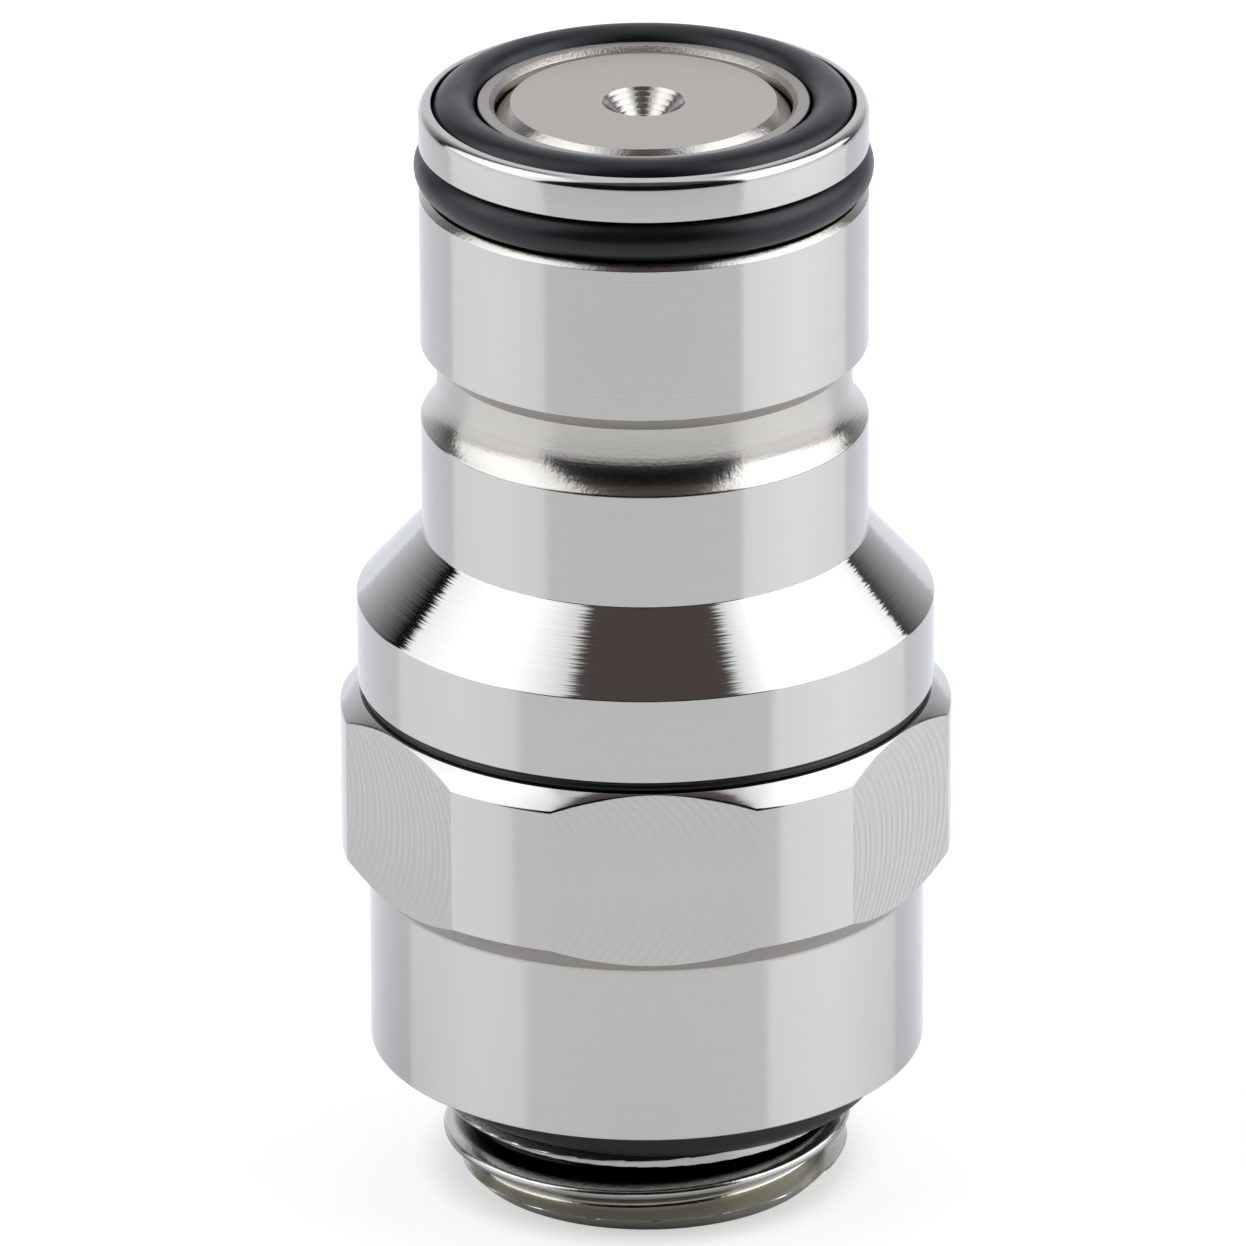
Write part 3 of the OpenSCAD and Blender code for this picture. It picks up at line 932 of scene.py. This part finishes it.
def white_acrylic_sheet(add, studio):
    """White acrylic sheet.

    The camera sees it as clean white with the part's soft shadow on it. In the metal its gloss
    shows as well, with the panels and the cards in it.
    """
    path = add("LightPath").outputs
    seen = add("Math", {0: path["Is Camera Ray"], 1: path["Is Transmission Ray"]},
               operation="MAXIMUM")
    # Divided by the light's colour, so that the sheet is neutral under that light
    matt = add("BsdfDiffuse", {"Color": [FLOOR_MATT / part for part in studio.light]})
    # Painted contact shadow: the sheet's added light is dimmed where the part is near; the matt
    # part takes the part's real shadow
    painted_contact_shade = add("AmbientOcclusion", {"Distance": 1.6 * MM}, samples=8)
    strength = add("MapRange", {"Value": painted_contact_shade.outputs["AO"], "From Min": 0.4, "To Min": 0.56,
                                "To Max": 0.8})
    lift = add("Emission", {"Color": linear("FFFFFF"), "Strength": strength})
    white = add("AddShader", {0: matt, 1: lift})
    # Painted glow, seen only in the metal: faded out under the part as a painted shadow, and dimmed
    # behind it as painted fall-off of light
    _, away, parts = position(add)
    behind = add("MapRange", {"Value": parts["Y"], "From Min": 20 * MM, "From Max": 80 * MM,
                              "To Min": studio.painted_floor_glow, "To Max": 0.8 * studio.painted_floor_glow})
    under = add("MapRange", {"Value": away, "From Min": 7 * MM, "From Max": 15 * MM})
    glow = add("Math", {0: behind, 1: under}, operation="MULTIPLY")
    gloss = add("BsdfPrincipled", {"Base Color": studio.floor, "Roughness": 0.04, "IOR": 1.49,
                                   "Emission Color": studio.light, "Emission Strength": glow})
    plain = add("BsdfDiffuse", {"Color": linear("F1F1F1")})
    mirrored = add("MixShader", {0: path["Is Glossy Ray"], 1: plain, 2: gloss})
    return add("MixShader", {0: seen, 1: mirrored, 2: white})


def sheet_shares(add):
    """Shares of a sheet's width and of its height."""
    parts = add("SeparateXYZ", {0: add("TexCoord").outputs["UV"]}).outputs
    return parts["X"], parts["Y"]


def panel_cloth(add, light, strength, rear_share, top_share):
    """Diffuser cloth of a light panel, brightest round its middle and dimmer towards its edges."""
    across, up = sheet_shares(add)
    front = add("MapRange", {"Value": across, "From Max": 0.5, "To Min": 0.45 * strength,
                             "To Max": strength})
    rear = add("MapRange", {"Value": across, "From Min": 0.55, "To Min": 1,
                            "To Max": rear_share})
    top = add("MapRange", {"Value": up, "From Min": 0.35, "From Max": 0.8, "To Min": 1,
                           "To Max": top_share})
    level = add("Math", {0: front, 1: rear}, operation="MULTIPLY")
    glow = add("Math", {0: level, 1: top}, operation="MULTIPLY")
    return add("Emission", {"Color": light, "Strength": glow})


def front_card_paper(add, studio):
    """Card round the lens: black up to the lens, dark brown above it, with frayed upright edges."""
    across, up = sheet_shares(add)
    share = add("MapRange", {"Value": up, "From Min": 0.5, "From Max": 0.62})
    tone = add("Mix", {0: share, 6: linear("1C1C1C"), 7: studio.card}, data_type="RGBA")
    paper = add("BsdfDiffuse", {"Color": tone.outputs[2]})
    from_middle = add("Math", {0: across, 1: 0.5}, operation="SUBTRACT")
    aside = add("Math", {0: from_middle}, operation="ABSOLUTE")
    inward = add("Math", {0: 0.5, 1: aside}, operation="SUBTRACT")
    fringe = add("MapRange", {"Value": up, "From Min": 0.27, "From Max": 0.67,
                              "To Min": 0.02, "To Max": 0.06})
    cover = add("MapRange", {"Value": inward, "From Max": fringe})
    clear = add("BsdfTransparent")
    return add("MixShader", {0: cover, 1: clear, 2: paper})


def back_card_paper(add, dark):
    """Black card that is whole up to a share of its width and thins out to nothing beyond it."""
    across, _ = sheet_shares(add)
    share = add("MapRange", {"Value": across, "From Min": dark, "From Max": 0.97})
    paper = add("BsdfDiffuse", {"Color": linear("101010")})
    clear = add("BsdfTransparent")
    return add("MixShader", {0: share, 1: paper, 2: clear})


def add_sheet(name, columns, rows, place, material):
    """Stage sheet that the camera doesn't see unless it is made visible.

    place gives the point at a share of the sheet's width and of its height.
    """
    points = [place(i / columns, j / rows) for i in range(columns + 1) for j in range(rows + 1)]
    faces = [(k, k + rows + 1, k + rows + 2, k + 1)
             for i in range(columns) for k in range(i * (rows + 1), i * (rows + 1) + rows)]
    mesh = bpy.data.meshes.new(name)
    mesh.from_pydata(points, [], faces)
    layer = mesh.uv_layers.new(name="shares")
    for loop in mesh.loops:
        column, row = divmod(loop.vertex_index, rows + 1)
        layer.data[loop.index].uv = (column / columns, row / rows)
    mesh.materials.append(material)
    sheet = bpy.data.objects.new(name, mesh)
    bpy.context.scene.collection.objects.link(sheet)
    sheet.visible_camera = False
    return sheet


def around(turn, azimuth, elevation, distance):
    """Point seen from the part: azimuth is measured from the camera, to its right."""
    a = turn + azimuth - math.radians(90)
    level = distance * math.cos(elevation)
    return Vector((level * math.cos(a), level * math.sin(a), distance * math.sin(elevation)))


def bent_card(name, turn, foot, head, top, distance, material):
    """Card bent round the part, from the floor up to an elevation.

    foot and head are the azimuths of its two upright edges, at the floor and at the top.
    """
    def place(across, up):
        low = foot[0] + (foot[1] - foot[0]) * across
        high = head[0] + (head[1] - head[0]) * across
        return around(turn, math.radians(low + (high - low) * up), math.radians(top) * up,
                      distance)
    add_sheet(name, columns=24, rows=16, place=place, material=material)


class COUPLING_OT_studio(bpy.types.Operator):
    """Build the camera, the pale floor, the white room, two light panels and the dark cards"""

    bl_idname = "coupling.studio"
    bl_label = "Studio"

    def execute(self, context):
        studio = context.scene.studio_settings
        self.add_camera(context, studio)
        self.add_room(context, studio)
        self.add_panels(studio)
        self.add_cards(studio)
        context.scene.view_settings.view_transform = "Standard"
        return {"FINISHED"}

    def add_camera(self, context, studio):
        data = bpy.data.cameras.new("studio_camera")
        data.sensor_width = 36
        data.lens = studio.lens
        data.clip_start = 0.05
        data.clip_end = 20
        camera = bpy.data.objects.new("studio_camera", data)
        context.scene.collection.objects.link(camera)
        stand = Vector((studio.camera_side, -studio.camera_distance, studio.camera_height))
        camera.matrix_world = (
            Matrix.Rotation(studio.camera_turn, 4, "Z") @ Matrix.Translation(stand)
            @ Matrix.Rotation(math.radians(90) - studio.camera_drop, 4, "X")
            @ Matrix.Rotation(studio.camera_roll, 4, "Z"))
        context.scene.camera = camera

    def add_room(self, context, studio):
        def place(across, up):
            return ((2 * across - 1) * studio.floor_reach, (2 * up - 1) * studio.floor_reach, 0)
        acrylic = new_material("white_acrylic_sheet", white_acrylic_sheet, studio)
        floor = add_sheet("floor", 1, 1, place, acrylic)
        floor.visible_camera = True
        world = bpy.data.worlds.new("white_room")
        context.scene.world = world
        add = start_nodes(world)
        path = add("LightPath").outputs
        light = add("Background", {"Color": studio.light, "Strength": studio.room})
        shown = add("Background", {"Color": linear("FFFFFF"), "Strength": 1})
        mix = add("MixShader", {0: path["Is Camera Ray"], 1: light, 2: shown})
        add("OutputWorld", {"Surface": mix})

    def add_panels(self, studio):
        rise = studio.panel_top - studio.panel_foot
        for side, name, rear, strength, rear_share, top_share in [
                (-1, "left_panel", studio.left_rear, studio.left_strength, 0.75, 0.95),
                (1, "right_panel", studio.right_rear, studio.right_strength, 0.55, 0.62)]:
            front = -side * studio.panel_distance * math.tan((rear - studio.panel_front) / 2)

            def place(across, up, front=front):
                return (front * (1 - 2 * across), 0, studio.panel_foot + rise * up)

            cloth = new_material(name + "_cloth", panel_cloth, studio.light, strength, rear_share,
                                 top_share)
            panel = add_sheet(name, 1, 1, place, cloth)
            azimuth = side * (studio.panel_front + rear) / 2
            panel.location = around(studio.camera_turn, azimuth, 0, studio.panel_distance)
            panel.rotation_euler.z = studio.camera_turn + azimuth

    def add_cards(self, studio):
        turn = studio.camera_turn
        paper = new_material("front_card_paper", front_card_paper, studio)
        bent_card("front_card", turn, FRONT_CARD_FOOT, FRONT_CARD_HEAD, FRONT_CARD_TOP,
                  studio.card_distance, paper)
        for side, name, dark, end in [(-1, "left_back_card", 0.11, 156),
                                      (1, "right_back_card", 0.2, 160)]:
            edges = (side * BACK_CARD_START, side * end)
            paper = new_material(name + "_paper", back_card_paper, dark)
            bent_card(name, turn, edges, edges, BACK_CARD_TOP, studio.back_card_distance, paper)


# ---------------------------------------------------------------- add-on


class COUPLING_PT_panel(bpy.types.Panel):
    """Lists the pieces of the coupling plug and its studio"""

    bl_label = "Coupling Plug"
    bl_idname = "COUPLING_PT_panel"
    bl_space_type = "VIEW_3D"
    bl_region_type = "UI"
    bl_category = "Coupling"

    def draw(self, context):
        for operator in OPERATORS:
            self.layout.operator(operator.bl_idname)
        for name in GROUPS:
            group = getattr(context.scene, name)
            box = self.layout.box()
            box.label(text=name.replace("_", " ").capitalize())
            for key in group.__annotations__:
                box.prop(group, key)


GROUPS = {
    "adapter_sizes": AdapterSizes,
    "body_sizes": BodySizes,
    "valve_sizes": ValveSizes,
    "seal_sizes": SealSizes,
    "finish_settings": FinishSettings,
    "studio_settings": StudioSettings,
}
OPERATORS = [
    COUPLING_OT_adapter,
    COUPLING_OT_body,
    COUPLING_OT_valve,
    COUPLING_OT_seals,
    COUPLING_OT_gasket,
    COUPLING_OT_spring,
    COUPLING_OT_inner,
    COUPLING_OT_studio,
]
CLASSES = [*GROUPS.values(), *OPERATORS, COUPLING_PT_panel]


def register():
    for item in CLASSES:
        bpy.utils.register_class(item)
    for name, group in GROUPS.items():
        setattr(bpy.types.Scene, name, PointerProperty(type=group))


def unregister():
    for name in GROUPS:
        delattr(bpy.types.Scene, name)
    for item in reversed(CLASSES):
        bpy.utils.unregister_class(item)


def main():
    """Build the pieces and the studio."""
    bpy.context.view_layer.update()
    register()
    bpy.ops.coupling.adapter()
    bpy.ops.coupling.body()
    bpy.ops.coupling.valve()
    bpy.ops.coupling.seals()
    bpy.ops.coupling.gasket()
    bpy.ops.coupling.spring()
    bpy.ops.coupling.inner()
    bpy.ops.coupling.studio()
    bpy.context.view_layer.update()


if __name__ == "__main__":
    main()
